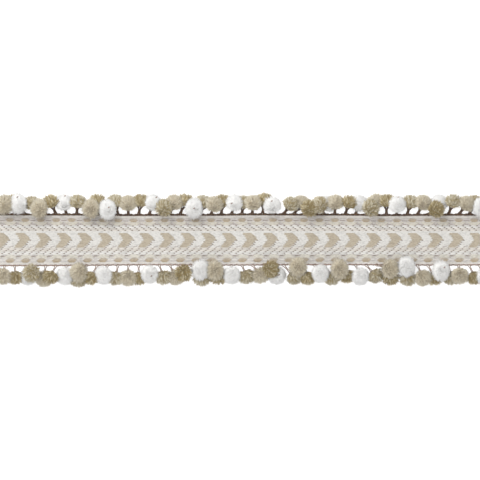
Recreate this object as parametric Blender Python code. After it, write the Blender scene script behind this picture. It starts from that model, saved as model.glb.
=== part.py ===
"""A cut length of pom-pom trim: a woven jacquard tape with a bound edge and a row of cut-pile
pompoms on short stems along each side.

Metres, +Z up, +X along the tape. The tape's flat back lies on z = 0, and the origin is on that
back, under the middle of the tape.
"""

import math
from collections import namedtuple

import bmesh
import bpy
from mathutils import Vector, noise

MM = 0.001

# Tape: its length is a whole number of chevrons
CHEVRON_PITCH = 16.5 * MM
CHEVRON_COUNT = 24
TAPE_LENGTH = CHEVRON_PITCH * CHEVRON_COUNT
TAPE_HALF_WIDTH = 19.1 * MM
CHEVRON_MIDDLE = 11.9 * MM
COLUMNS_PER_CHEVRON = 4
OVAL_EVERY = 3

# Slow waves of each edge, heights and lengths in millimetres, and a flare of the lower edge
# towards its -X end
Wave = namedtuple("Wave", "height length phase")
EDGE_WAVES = {
    1: (Wave(0.22, 31.0, 0.6), Wave(0.10, 11.0, 0.0)),
    -1: (Wave(0.15, 27.0, 2.0),),
}
FLARE = 0.5 * MM
FLARE_END = -95 * MM
FLARE_SOFTNESS = 12 * MM

# Edge binding that carries the stems
GAP = 0.3 * MM
BINDING_WIDTH = 1.2 * MM
BINDING_HEIGHT = 1.3 * MM
BINDING_SWELLING = 0.3 * MM
CLEAR_OF_BINDING = 0.9 * MM

# Pompoms and stems
POMPOM_PITCH = CHEVRON_PITCH / 2
STEM_ROOT_RADIUS = {"upper": 0.62 * MM, "lower": 0.52 * MM}
STEM_THROAT_RADIUS = {"upper": 1.3 * MM, "lower": 0.85 * MM}
THROAT_AT = 0.45
LUMP_SIZE = 0.07
LUMP_SCALE = 1.8
UNDERSIDE_HOLLOW = 0.36
UNDERSIDE_CURVE = 1.4
LUMP_SHIFT = 9.0
NEAR_ENOUGH = 1.25

# Colour: name, linear base colour and roughness
COLOURS = {
    "ivory_tape": ((0.60, 0.56, 0.50), 0.85),
    "white": ((0.78, 0.78, 0.76), 0.95),
    "marl": ((0.52, 0.47, 0.36), 0.95),
    "greige": ((0.47, 0.41, 0.32), 0.95),
    "khaki": ((0.36, 0.30, 0.18), 0.95),
    "brown_yarn": ((0.10, 0.065, 0.045), 0.9),
}

# Lines that run along the tape, from its lower to its upper edge: the distance from the middle,
# the cloth's thickness, how far the motif stands up there, which motif that is, and how far the
# weave's columns are drawn back along the tape, all in millimetres. A chevron's point is on the
# line at -1, and its arms run back at 45 degrees.
Line = namedtuple("Line", "across thickness relief motif drawn_back")
LINES = (
    Line(-19.1, 1.00, 0.00, "plain", 6.4),
    Line(-17.8, 1.15, 0.00, "plain", 6.4),
    Line(-16.0, 1.20, 0.40, "oval", 6.4),
    Line(-14.2, 1.20, 0.00, "plain", 6.4),
    Line(-7.4, 1.25, 0.00, "plain", 6.0),
    Line(-6.5, 1.35, 0.30, "chevron", 5.5),
    Line(-3.8, 1.35, 0.30, "chevron", 2.8),
    Line(-1.0, 1.35, 0.30, "chevron", 0.0),
    Line(1.8, 1.35, 0.30, "chevron", 2.8),
    Line(4.5, 1.35, 0.30, "chevron", 5.5),
    Line(5.4, 1.25, 0.00, "plain", 6.0),
    Line(14.0, 1.20, 0.00, "plain", 6.4),
    Line(15.8, 1.20, 0.40, "oval", 6.4),
    Line(17.6, 1.15, 0.00, "plain", 6.4),
    Line(19.1, 1.00, 0.00, "plain", 6.4),
)
TAPE_TOP = max(line.thickness + line.relief for line in LINES) * MM

# Pompoms, a row for each run of the colour cycle. Each pompom has three lengths in millimetres:
# how far it leans along the tape from its root, how far out its centre lies from the binding,
# and how high its centre lies. Low ones rest on the surface, high ones flop over the edge.
CYCLE = ("marl", "greige", "khaki", "white")
RADIUS = {"marl": 7.3 * MM, "greige": 7.6 * MM, "khaki": 7.3 * MM, "white": 7.7 * MM}
UPPER_RUNS = (
    ((-0.5, 7.8, 6.0), (0.0, 7.0, 12.0), (-2.0, 8.0, 5.0), (-5.3, 7.9, 11.5)),
    ((-2.8, 7.0, 5.0), (-5.0, 4.2, 12.5), (-3.7, 8.2, 9.0), (-1.9, 8.2, 7.0)),
    ((0.6, 8.2, 9.0), (3.1, 4.0, 13.0), (0.0, 8.6, 5.5), (-0.2, 3.4, 12.5)),
    ((-2.0, 8.6, 6.0), (-0.3, 7.7, 9.0), (1.5, 9.0, 6.5), (3.2, 8.2, 8.5)),
    ((3.4, 4.6, 13.0), (3.5, 8.2, 8.5), (3.7, 9.0, 5.5), (3.0, 4.6, 12.5)),
    ((1.9, 7.8, 5.5), (2.5, 6.8, 10.5), (1.0, 8.6, 6.0), (2.0, 8.0, 10.0)),
    ((0.9, 7.4, 5.5), (0.6, 7.6, 9.5), (1.2, 9.4, 6.0), (-0.6, 6.2, 10.0)),
    ((5.5, 6.6, 9.5), (6.0, 7.4, 5.0), (3.8, 3.8, 12.5), (9.5, 7.2, 5.0)),
    ((-3.9, 6.4, 11.5), (0.2, 8.0, 9.0), (2.7, 7.9, 9.0), (2.5, 7.8, 5.5)),
    ((3.8, 4.8, 12.5), (0.0, 9.0, 5.5), (0.0, 9.0, 7.0), (0.2, 7.2, 10.5)),
    ((2.4, 8.2, 7.0), (4.2, 8.0, 9.0), (5.9, 3.4, 13.0), (0.8, 8.0, 5.5)),
    ((3.4, 8.6, 9.0), (5.9, 7.4, 9.0), (4.9, 8.0, 5.0), (1.8, 5.4, 11.5)),
)
LOWER_RUNS = (
    ((-2.0, 8.0, 6.0), (-1.2, 7.4, 9.0), (0.2, 7.5, 6.5), (2.3, 7.6, 5.5)),
    ((-2.8, 5.1, 13.5), (-1.4, 9.3, 5.0), (-4.1, 7.5, 11.0), (-1.1, 7.6, 7.5)),
    ((1.0, 9.7, 5.0), (-6.5, 5.1, 12.5), (-4.7, 8.2, 8.0), (-3.0, 7.4, 9.5)),
    ((-1.6, 8.6, 7.0), (-0.2, 9.2, 9.0), (0.0, 8.6, 6.0), (0.4, 6.8, 10.5)),
    ((3.0, 8.2, 7.0), (4.7, 8.4, 6.0), (2.5, 5.4, 12.5), (8.2, 3.6, 12.0)),
    ((1.1, 9.1, 5.5), (3.3, 3.9, 13.0), (-2.2, 7.9, 5.5), (0.0, 7.3, 9.0)),
    ((3.3, 7.5, 6.0), (6.2, 7.0, 7.5), (6.0, 2.6, 12.0), (3.0, 7.5, 5.5)),
    ((7.9, 8.2, 5.5), (3.6, 1.4, 12.0), (3.0, 8.6, 6.5), (4.7, 6.2, 11.0)),
    ((5.3, 8.6, 5.5), (3.8, 3.0, 12.0), (1.5, 7.2, 5.0), (3.7, 8.4, 8.5)),
    ((7.0, 7.2, 6.5), (10.8, 2.6, 12.5), (2.9, 8.6, 5.5), (7.8, 1.0, 11.5)),
    ((0.8, 9.0, 5.5), (4.2, 9.0, 8.5), (5.1, 8.6, 5.5), (2.4, 4.3, 11.5)),
    ((2.2, 8.2, 5.5), (0.7, 7.5, 10.5), (4.1, 8.2, 7.0), (3.8, 8.0, 10.0)),
)
FLOPPED_ABOVE = 11.2 * MM
FLOPPED_SHAPE = Vector((0.95, 1.13, 0.95))
UPRIGHT_SHAPE = Vector((1.0, 1.0, 0.97))

Pompom = namedtuple("Pompom", "colour number side root centre radius")
Wall = namedtuple("Wall", "point normal")


def yarn(name):
    """Material of one yarn colour."""
    colour, roughness = COLOURS[name]
    material = bpy.data.materials.new(name)
    material.use_nodes = True
    shader = material.node_tree.nodes["Principled BSDF"]
    shader.inputs["Base Color"].default_value = (*colour, 1.0)
    shader.inputs["Roughness"].default_value = roughness
    shader.inputs["Metallic"].default_value = 0.0
    return material


def add_object(name, bm, collection, materials):
    """Named object with the bmesh's shape."""
    mesh = bpy.data.meshes.new(name)
    bm.to_mesh(mesh)
    bm.free()
    for material in materials:
        mesh.materials.append(material)
    piece = bpy.data.objects.new(name, mesh)
    collection.objects.link(piece)
    return piece


def edge_drift(x, side):
    """How far an edge of the tape strays outwards from straight at x."""
    waves = EDGE_WAVES[side]
    drift = sum(wave.height * MM * math.sin(x / (wave.length * MM) + wave.phase) for wave in waves)
    if side < 0:
        drift += FLARE / (1 + math.exp((x - FLARE_END) / FLARE_SOFTNESS))
    return drift


def woven_tape(collection):
    """The tape: a grid whose columns follow the chevrons, extruded down to a flat back."""
    column_step = CHEVRON_PITCH / COLUMNS_PER_CHEVRON
    spare = COLUMNS_PER_CHEVRON
    columns = CHEVRON_COUNT * COLUMNS_PER_CHEVRON + 2 * spare
    bm = bmesh.new()
    bmesh.ops.create_grid(bm, x_segments=columns, y_segments=len(LINES) - 1, size=0.5)
    for vertex in bm.verts:
        column = round((vertex.co.x + 0.5) * columns)
        line = LINES[round((vertex.co.y + 0.5) * (len(LINES) - 1))]
        on_chevron = line.motif == "chevron" and column % COLUMNS_PER_CHEVRON < 2
        on_oval = line.motif == "oval" and column % OVAL_EVERY == 0
        x = -TAPE_LENGTH / 2 - spare * column_step + column * column_step
        x += CHEVRON_MIDDLE - column_step / 2
        x -= line.drawn_back * MM
        across = line.across * MM
        drift = across / TAPE_HALF_WIDTH * edge_drift(x, 1 if across > 0 else -1)
        raised = line.relief if on_chevron or on_oval else 0.0
        vertex.co = (x, across + drift, (line.thickness + raised) * MM)
    back = bmesh.ops.extrude_face_region(bm, geom=bm.faces[:])["geom"]
    for vertex in (item for item in back if isinstance(item, bmesh.types.BMVert)):
        vertex.co.z = 0.0
    for end in (-1, 1):
        cut = bmesh.ops.bisect_plane(
            bm,
            geom=bm.verts[:] + bm.edges[:] + bm.faces[:],
            plane_co=(end * TAPE_LENGTH / 2, 0, 0),
            plane_no=(end, 0, 0),
            clear_outer=True,
        )
        rim = [item for item in cut["geom_cut"] if isinstance(item, bmesh.types.BMEdge)]
        bmesh.ops.holes_fill(bm, edges=rim)
    bm.normal_update()
    flat = [face for face in bm.faces if all(vertex.co.z < GAP for vertex in face.verts)]
    bmesh.ops.dissolve_faces(bm, faces=flat, use_verts=True)
    bmesh.ops.recalc_face_normals(bm, faces=bm.faces[:])
    return add_object("woven_tape", bm, collection, [yarn("ivory_tape")])


def binding(side, collection, materials):
    """Narrow cord parted from the tape's edge by a gap, with a small swelling at each stem."""
    sections = round(TAPE_LENGTH / POMPOM_PITCH) * 2
    bm = bmesh.new()
    bmesh.ops.create_grid(bm, x_segments=sections, y_segments=1, size=0.5)
    for vertex in bm.verts:
        section = round((vertex.co.x + 0.5) * sections)
        x = vertex.co.x * TAPE_LENGTH
        y = TAPE_HALF_WIDTH + GAP + edge_drift(x, side)
        if vertex.co.y > 0:
            y += BINDING_WIDTH + (BINDING_SWELLING if section % 2 else 0.0)
        vertex.co = (x, side * y, BINDING_HEIGHT)
    base = bmesh.ops.extrude_face_region(bm, geom=bm.faces[:])["geom"]
    for vertex in (item for item in base if isinstance(item, bmesh.types.BMVert)):
        vertex.co.z = 0.0
    bmesh.ops.recalc_face_normals(bm, faces=bm.faces[:])
    for face in bm.faces:
        face.material_index = len(CYCLE)
    name = "fringe_upper" if side > 0 else "fringe_lower"
    return add_object(name, bm, collection, materials)


def place_pompoms(side, runs):
    """Every pompom of one side with its root in the binding and its centre."""
    edge = TAPE_HALF_WIDTH + GAP + BINDING_WIDTH
    count = len(runs) * len(CYCLE)
    placed = []
    for number in range(count):
        run, step = divmod(number, len(CYCLE))
        lean, out, high = (length * MM for length in runs[run][step])
        root_x = (number - (count - 1) / 2) * POMPOM_PITCH
        drift = edge_drift(root_x, side)
        root_y = edge - BINDING_WIDTH / 2 + drift
        root = Vector((root_x, side * root_y, BINDING_HEIGHT / 2))
        centre = Vector((root_x + lean, side * (edge + drift + out), high))
        colour = CYCLE[step]
        placed.append(Pompom(colour, number, side, root, centre, RADIUS[colour]))
    return placed


def walls_around(pompom, others):
    """Planes that a pompom is pressed flat against: the surface or the tape below it, the
    binding beside it, its neighbours and their stems."""
    outward = pompom.side
    edge = outward * (TAPE_HALF_WIDTH + GAP + BINDING_WIDTH)
    out = outward * (pompom.centre.y - edge)
    over_tape = out < pompom.radius + CLEAR_OF_BINDING and pompom.centre.z > pompom.radius
    rest = TAPE_TOP + GAP if over_tape else 0.0
    walls = [Wall(Vector((0, 0, rest)), Vector((0, 0, -1)))]
    if not over_tape:
        beside = Vector((0, edge + outward * CLEAR_OF_BINDING, 0))
        walls.append(Wall(beside, Vector((0, -outward, 0))))
    for other in others:
        if other.number == pompom.number:
            continue
        apart = other.centre - pompom.centre
        distance = apart.length
        if distance < (pompom.radius + other.radius) * NEAR_ENOUGH:
            squares = distance**2 + pompom.radius**2 - other.radius**2
            share = squares / (2 * distance) - GAP / 2
            toward = apart.normalized()
            walls.append(Wall(pompom.centre + toward * share, toward))
        stem = other.centre - other.root
        along = (pompom.centre - other.root).dot(stem) / stem.length_squared
        nearest = other.root + stem * min(max(along, 0.0), 1.0 - other.radius / stem.length)
        toward = nearest - pompom.centre
        clear = STEM_THROAT_RADIUS["upper"] + GAP
        if toward.length < pompom.radius * NEAR_ENOUGH + clear:
            point = nearest - toward.normalized() * clear
            walls.append(Wall(point, toward.normalized()))
    return walls


def reach(pompom, direction, walls):
    """Distance from a pompom's centre to its surface along a unit direction. The side that
    faces the root is shallower, as on a mushroom."""
    shape = FLOPPED_SHAPE if pompom.centre.z > FLOPPED_ABOVE else UPRIGHT_SHAPE
    spread = Vector(part / size for part, size in zip(direction, shape)).length
    place = Vector((pompom.number, pompom.side, 0)) * LUMP_SHIFT
    wander = noise.noise(direction * LUMP_SCALE + place)
    distance = pompom.radius * (1 + LUMP_SIZE * wander) / spread
    toward_root = max(0.0, direction.dot((pompom.root - pompom.centre).normalized()))
    distance *= 1 - UNDERSIDE_HOLLOW * toward_root**UNDERSIDE_CURVE
    for wall in walls:
        facing = wall.normal.dot(direction)
        if facing > 0:
            distance = min(distance, wall.normal.dot(wall.point - pompom.centre) / facing)
    return distance


def draw_ring(face, point, along, radius):
    """Move a face's corners onto a small ring round a point of the stem."""
    middle = face.calc_center_median()
    for vertex in face.verts:
        spoke = vertex.co - middle
        spoke -= along * spoke.dot(along)
        vertex.co = point + spoke.normalized() * radius


def add_tuft(bm, pompom, walls, side_name):
    """A lumpy ball whose face nearest the root is drawn out into a stem with a flared throat."""
    ball = bmesh.ops.create_icosphere(bm, subdivisions=2, radius=1.0)["verts"]
    along = (pompom.root - pompom.centre).normalized()
    mouth = ball[0].link_faces[0]
    turn = mouth.calc_center_median().normalized().rotation_difference(along)
    for vertex in ball:
        direction = (turn @ vertex.co).normalized()
        vertex.co = pompom.centre + direction * reach(pompom, direction, walls)
        for face in vertex.link_faces:
            face.material_index = CYCLE.index(pompom.colour)
    throat = bmesh.ops.extrude_discrete_faces(bm, faces=[mouth])["faces"][0]
    start = throat.calc_center_median()
    draw_ring(throat, start.lerp(pompom.root, THROAT_AT), along, STEM_THROAT_RADIUS[side_name])
    end = bmesh.ops.extrude_discrete_faces(bm, faces=[throat])["faces"][0]
    draw_ring(end, pompom.root, along, STEM_ROOT_RADIUS[side_name])


def fringe(side, runs, collection, guides, materials):
    """One row of pompoms, fused at their roots into the binding."""
    side_name = "upper" if side > 0 else "lower"
    pompoms = place_pompoms(side, runs)
    bm = bmesh.new()
    for pompom in pompoms:
        add_tuft(bm, pompom, walls_around(pompom, pompoms), side_name)
    bm.normal_update()
    tufts = add_object(f"tufts_{side_name}", bm, guides, materials)
    tufts.hide_render = True
    tufts.display_type = "WIRE"
    body = binding(side, collection, materials)
    union = body.modifiers.new("tufts", "BOOLEAN")
    union.operation = "UNION"
    union.solver = "EXACT"
    union.object = tufts
    return body


def main():
    for old in list(bpy.data.objects):
        bpy.data.objects.remove(old, do_unlink=True)
    trim = bpy.data.collections.new("pom_pom_trim")
    guides = bpy.data.collections.new("guides")
    for collection in (trim, guides):
        bpy.context.scene.collection.children.link(collection)
    materials = [yarn(name) for name in (*CYCLE, "brown_yarn")]
    woven_tape(trim)
    fringe(1, UPPER_RUNS, trim, guides, materials)
    fringe(-1, LOWER_RUNS, trim, guides, materials)


main()
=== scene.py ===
# %% [markdown]
# # A pom-pom trim
# The object is a cut length of trimming: a woven tape with a chevron band down its middle, and a
# row of cut-pile pompoms on short yarn stems along each edge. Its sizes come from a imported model,
# the frame, which is loaded first and never moved. Everything made below stands around it.

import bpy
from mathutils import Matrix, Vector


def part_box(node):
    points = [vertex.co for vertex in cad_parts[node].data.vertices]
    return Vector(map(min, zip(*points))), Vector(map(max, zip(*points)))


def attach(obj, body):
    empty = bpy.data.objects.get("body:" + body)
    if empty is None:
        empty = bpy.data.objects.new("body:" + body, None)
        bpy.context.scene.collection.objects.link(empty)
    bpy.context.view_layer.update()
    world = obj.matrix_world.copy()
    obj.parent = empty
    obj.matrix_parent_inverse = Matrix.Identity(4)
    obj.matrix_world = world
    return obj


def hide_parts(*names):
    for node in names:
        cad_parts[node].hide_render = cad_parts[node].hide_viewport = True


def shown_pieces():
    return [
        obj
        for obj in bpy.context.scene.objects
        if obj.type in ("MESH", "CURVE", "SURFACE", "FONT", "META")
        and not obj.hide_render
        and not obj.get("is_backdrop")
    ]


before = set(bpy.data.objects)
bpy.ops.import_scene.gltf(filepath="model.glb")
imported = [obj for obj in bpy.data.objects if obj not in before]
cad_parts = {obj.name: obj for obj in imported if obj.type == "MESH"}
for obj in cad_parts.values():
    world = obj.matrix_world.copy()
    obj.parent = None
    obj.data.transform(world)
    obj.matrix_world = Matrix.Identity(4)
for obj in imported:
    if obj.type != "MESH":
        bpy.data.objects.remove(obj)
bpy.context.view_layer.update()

# %% Modules and units
import math
from collections import namedtuple

import bmesh
import bpy
from mathutils import Vector, noise

MM = 0.001
SEED = 7

# %% [markdown]
# ## The picture
# The trim lies flat and is looked at from straight above, with no perspective to be seen. An
# orthographic camera would do, but a perspective camera a long way off with a very long lens gives
# the same picture, and it can still be moved round the object.

# %% Camera
PICTURE_WIDTH = 383.7 * MM
PICTURE_MIDDLE = (2.64 * MM, -0.24 * MM)
CAMERA_HEIGHT = 12.0
SENSOR = 36.0

camera_data = bpy.data.cameras.new("camera")
camera_data.sensor_width = SENSOR
camera_data.lens = SENSOR * CAMERA_HEIGHT / PICTURE_WIDTH
camera_data.clip_end = 2 * CAMERA_HEIGHT
camera = bpy.data.objects.new("camera", camera_data)
camera.location = (*PICTURE_MIDDLE, CAMERA_HEIGHT)
bpy.context.scene.collection.objects.link(camera)
bpy.context.scene.camera = camera
print("lens in mm:", round(camera_data.lens))

# %% [markdown]
# A product picture like this is lit from all round, with a little more from one side so that the
# pompoms look round. A bright world does the first, and one large lamp does the second. The
# Standard view keeps the cloth's colours as they are set.

# %% Light
WORLD_STRENGTH = 1.15
LAMP_PLACE = Vector((-0.45, 0.5, 1.6))
LAMP_SIZE = 1.3
LAMP_POWER = 20.0

world = bpy.data.worlds.new("studio")
world.use_nodes = True
world.node_tree.nodes["Background"].inputs["Color"].default_value = (1.0, 1.0, 1.0, 1.0)
world.node_tree.nodes["Background"].inputs["Strength"].default_value = WORLD_STRENGTH
bpy.context.scene.world = world
bpy.context.scene.view_settings.view_transform = "Standard"

lamp_data = bpy.data.lights.new("window", "AREA")
lamp_data.shape = "DISK"
lamp_data.size = LAMP_SIZE
lamp_data.energy = LAMP_POWER
lamp = bpy.data.objects.new("window", lamp_data)
lamp.location = LAMP_PLACE
lamp.rotation_euler = (-LAMP_PLACE).to_track_quat("-Z", "Y").to_euler()
bpy.context.scene.collection.objects.link(lamp)
print("lamp", round(LAMP_PLACE.length, 2), "m away")

# %% [markdown]
# ## Sums in node trees
# The weave's pattern is a formula, and a formula drawn as dozens of Math nodes is hard to read.
# A Quantity wraps one output socket, so that Python's own signs add the nodes. A mask is 1 where
# something holds and 0 elsewhere, so & stands for the smaller of two values, where both hold, and |
# for the larger. A Bench is one node tree, of a material or of Geometry Nodes.

# %% A socket in a sum
def both_ways(operation):
    """A sign's two methods: with the socket on its left, and with the socket on its right."""

    def left(self, other):
        return self.sum(operation, self, other)

    def right(self, other):
        return self.sum(operation, other, self)

    return left, right


class Quantity:
    """One output socket, which plain Python signs can work with."""

    def __init__(self, bench, socket):
        self.bench = bench
        self.socket = socket

    def sum(self, operation, *terms, clamp=False):
        settings = {"operation": operation, "use_clamp": clamp}
        return self.bench.get("ShaderNodeMath", settings, dict(enumerate(terms)))

    __add__, __radd__ = both_ways("ADD")
    __sub__, __rsub__ = both_ways("SUBTRACT")
    __mul__, __rmul__ = both_ways("MULTIPLY")
    __truediv__, __rtruediv__ = both_ways("DIVIDE")
    __pow__, __rpow__ = both_ways("POWER")
    __mod__, __rmod__ = both_ways("FLOORED_MODULO")
    __lt__, __gt__ = both_ways("LESS_THAN")
    __or__, __ror__ = both_ways("MAXIMUM")
    __and__, __rand__ = both_ways("MINIMUM")

    def __floordiv__(self, other):
        return self.sum("FLOOR", self / other)

    def __abs__(self):
        return self.sum("ABSOLUTE", self)

    def sine(self):
        return self.sum("SINE", self)

    def cosine(self):
        return self.sum("COSINE", self)

    def clamped(self):
        return self.sum("ADD", self, 0.0, clamp=True)

# %% A node tree to work on
class Bench:
    """One node tree. Nodes are added by type, settings and inputs."""

    def __init__(self, tree):
        self.tree = tree

    @staticmethod
    def pick(sockets, key):
        """A socket by its number, or the one in use that has this name."""
        if isinstance(key, int):
            return sockets[key]
        matches = [socket for socket in sockets if socket.name == key]
        return next((socket for socket in matches if socket.enabled), matches[0])

    def add(self, kind, settings=None, inputs=None):
        node = self.tree.nodes.new(kind)
        for setting, value in (settings or {}).items():
            setattr(node, setting, value)
        for key, value in (inputs or {}).items():
            socket = self.pick(node.inputs, key)
            if isinstance(value, Quantity):
                self.tree.links.new(value.socket, socket)
            elif isinstance(value, (list, tuple)) and value and isinstance(value[0], Quantity):
                for part in reversed(value):
                    self.tree.links.new(part.socket, socket)
            else:
                socket.default_value = value
        return node

    def get(self, kind, settings=None, inputs=None, output=0):
        """Add a node and return one of its outputs."""
        node = self.add(kind, settings, inputs)
        return Quantity(self, self.pick(node.outputs, output))

    def vector(self, operation, *terms, output="Vector"):
        settings = {"operation": operation}
        return self.get("ShaderNodeVectorMath", settings, dict(enumerate(terms)), output)

    def scaled(self, vector, factor):
        inputs = {0: vector, "Scale": factor}
        return self.get("ShaderNodeVectorMath", {"operation": "SCALE"}, inputs)

    def joined(self, x, y, z):
        return self.get("ShaderNodeCombineXYZ", None, {"X": x, "Y": y, "Z": z})

    def parts(self, vector):
        node = self.add("ShaderNodeSeparateXYZ", None, {0: vector})
        return [Quantity(self, output) for output in node.outputs]

    def noise(self, vector, size, detail=0.0, output="Fac"):
        inputs = {"Vector": vector, "Scale": 1.0 / size, "Detail": detail}
        return self.get("ShaderNodeTexNoise", None, inputs, output)

# %% [markdown]
# Geometry Nodes make what repeats: the floats of the weave, the twisted yarn and the cut pile. Each
# tree is built once, with its sizes as named inputs, and is run on a small source mesh or curve. The
# result is taken out as a plain mesh, so that nothing live is left on the finished piece.

# %% A Geometry Nodes tree, and a way to run it
def new_tree(name, numbers=(), counts=()):
    """Empty tree with a geometry, a material and the named numbers and counts as its inputs."""
    tree = bpy.data.node_groups.new(name, "GeometryNodeTree")
    face = tree.interface
    face.new_socket("Geometry", in_out="OUTPUT", socket_type="NodeSocketGeometry")
    face.new_socket("Geometry", in_out="INPUT", socket_type="NodeSocketGeometry")
    for label in numbers:
        face.new_socket(label, in_out="INPUT", socket_type="NodeSocketFloat")
    for label in (*counts, "Seed"):
        face.new_socket(label, in_out="INPUT", socket_type="NodeSocketInt")
    face.new_socket("Material", in_out="INPUT", socket_type="NodeSocketMaterial")
    bench = Bench(tree)
    source = tree.nodes.new("NodeGroupInput")
    given = {output.name: Quantity(bench, output) for output in source.outputs if output.name}
    return bench, given


def close_tree(bench, given, geometry):
    """Last steps of every tree: real geometry, smooth and with its material."""
    real = bench.get("GeometryNodeRealizeInstances", None, {"Geometry": geometry})
    smooth = bench.get("GeometryNodeSetShadeSmooth", None, {"Geometry": real})
    inputs = {"Geometry": smooth, "Material": given["Material"]}
    finished = bench.get("GeometryNodeSetMaterial", None, inputs)
    bench.add("NodeGroupOutput", None, {0: finished})
    return bench.tree


def run_tree(tree, name, source, material, **sizes):
    """Plain mesh object made by running a tree on a mesh or curve."""
    carrier = bpy.data.objects.new(name + "_source", source)
    bpy.context.scene.collection.objects.link(carrier)
    modifier = carrier.modifiers.new("nodes", "NODES")
    modifier.node_group = tree
    known = {item.name: item.identifier for item in tree.interface.items_tree if item.in_out == "INPUT"}
    values = {label.replace("_", " ").capitalize(): size for label, size in sizes.items()}
    for label, value in {"Seed": SEED, **values, "Material": material}.items():
        modifier[known[label]] = value
    evaluated = carrier.evaluated_get(bpy.context.evaluated_depsgraph_get())
    mesh = bpy.data.meshes.new_from_object(evaluated)
    mesh.name = name
    bpy.data.objects.remove(carrier)
    piece = bpy.data.objects.new(name, mesh)
    bpy.context.scene.collection.objects.link(piece)
    triangles = sum(len(face.vertices) - 2 for face in mesh.polygons)
    print(name, "triangles:", triangles)
    return piece

# %% [markdown]
# ## Colours
# Colours are read as the eye names them, from 0 to 255, and turned to the linear values that
# Blender works with.

# %% Colour values
def linear(red, green, blue):
    """Linear colour from screen values of 0 to 255."""
    parts = [value / 255 for value in (red, green, blue)]
    return tuple(v / 12.92 if v <= 0.04045 else ((v + 0.055) / 1.055) ** 2.4 for v in parts) + (1.0,)


def new_material(name):
    """Material with its shader, and a bench to work on."""
    material = bpy.data.materials.new(name)
    material.use_nodes = True
    bench = Bench(material.node_tree)
    return material, bench, material.node_tree.nodes["Principled BSDF"]


def mixed(bench, factor, first, second, blend="MIX"):
    """Colour mix of two colours, each a value or a Quantity."""
    settings = {"data_type": "RGBA", "blend_type": blend}
    return bench.get("ShaderNodeMix", settings, {"Factor": factor, "A": first, "B": second}, "Result")


def attribute(bench, name, output="Fac"):
    """A value that a tree has stored on the mesh."""
    return bench.get("ShaderNodeAttribute", {"attribute_name": name}, None, output)


def feed(bench, node, label, quantity):
    bench.tree.links.new(quantity.socket, node.inputs[label])

# %% [markdown]
# ## The tape's own shape
# The tape is about 38 mm wide. Its two edges aren't ruler-straight, because the stems pull at
# them. The same slow waves are in the solid model, and they are written here once, for plain
# numbers and for node trees alike: only the sine needs a choice.

# %% Size of the tape and drift of its edges
tape_low, tape_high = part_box("woven_tape")
TAPE_LENGTH = tape_high.x - tape_low.x
TAPE_HALF_WIDTH = 19.1 * MM
CHEVRONS = 24
CHEVRON_PITCH = TAPE_LENGTH / CHEVRONS
Wave = namedtuple("Wave", "height length phase")
EDGE_WAVES = {
    1: (Wave(0.22 * MM, 31 * MM, 0.6), Wave(0.10 * MM, 11 * MM, 0.0)),
    -1: (Wave(0.15 * MM, 27 * MM, 2.0),),
}
FLARE = 0.5 * MM
FLARE_END = -95 * MM
FLARE_SOFTNESS = 12 * MM


def edge_drift(x, side):
    """How far an edge strays outwards at x, a number or a Quantity."""
    sine = Quantity.sine if isinstance(x, Quantity) else math.sin
    drift = sum(wave.height * sine(x / wave.length + wave.phase) for wave in EDGE_WAVES[side])
    if side < 0:
        drift = drift + FLARE / (1 + math.e ** ((x - FLARE_END) / FLARE_SOFTNESS))
    return drift


print("tape", round(TAPE_LENGTH / MM, 1), "mm, chevron pitch", round(CHEVRON_PITCH / MM, 2), "mm")

# %% [markdown]
# ## The weave's pattern
# The tape is a jacquard: the loom lifts single threads, so every edge of a motif is a small
# staircase. The pattern has a band of chevrons that point along the tape, each with a thin grey line
# that leads to its lower corner, painted shadow where the floats end, and dark dots at the stairs of
# its lower point, painted shade. On either side lie a twill with a dark dot at each turn, brown
# thread darkened further as painted shade in the gap, a row of ovals in a grey ground with dashes
# between them, and a plain edge. Each motif is a short formula in millimetres, x along the tape and
# v across it, which gives 1 on the motif and 0 off it. Both the colour and the relief of the cloth
# come from the same formulas.

# %% Chevrons
CHEVRON_LINE = 0.4
CHEVRON_TOP = 5.3
CHEVRON_BOTTOM = -6.3
CHEVRON_LONG = 8.3
POINT_BLUNT = 0.4
NOTCH_AT = 8.3
NOTCH_FLAT = 0.6
INNER_SLOPE = 0.95
CORNER = -3.9
BEFORE_NOTCH = 4.4
STAIR = 1.4
TOOTH = 1.5
THREAD_FROM = -0.2
THREAD_TO = 1.2
LEAD_AT = -4.5
LEAD_SLOPE = 0.32
LEAD_FROM = 8.2
LINE_HALF_HIGH = 0.28
PITCH = CHEVRON_PITCH / MM


def within(value, low, high):
    """1 where a value lies between two others, and 0 elsewhere."""
    return (value > low) & (value < high)


def folded(x, pitch):
    """How far x is past the middle of its own repeat, up to half a pitch either way."""
    return (x + pitch / 2) % pitch - pitch / 2


def chevron_parts(x, v):
    """Chevron, painted shade at each stair of its lower point, and a painted shadow line to its corner."""
    t = (x - (NOTCH_AT - BEFORE_NOTCH)) % PITCH - BEFORE_NOTCH
    away = abs(v - CHEVRON_LINE)
    below = v < CHEVRON_LINE
    step = away // STAIR
    stair = (step + 0.5) * STAIR
    outer = (CHEVRON_LONG - (below * stair + (1 - below) * away)) & (CHEVRON_LONG - POINT_BLUNT)
    tooth = TOOTH * abs(2 * (away / STAIR - step) - 1) - TOOTH / 2
    inner = ((0 - INNER_SLOPE * ((away - NOTCH_FLAT) | 0.0)) | CORNER) + tooth
    band = within(v, CHEVRON_BOTTOM, CHEVRON_TOP)
    body = within(t, inner & 0.0, outer) & band
    # Dark dots just past each stair of the lower point: painted shade where a step of floats ends.
    past = t - outer
    late = (away % STAIR) > 0.5 * STAIR
    dots = within(past, THREAD_FROM, THREAD_TO) & late & below & band
    # Thin grey line to the corner: painted shadow along the edge where the floats end.
    lead_shadow = (abs(v - LEAD_AT - LEAD_SLOPE * (t - PITCH - CORNER)) < LINE_HALF_HIGH) & (t > LEAD_FROM)
    return body, dots, lead_shadow

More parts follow.
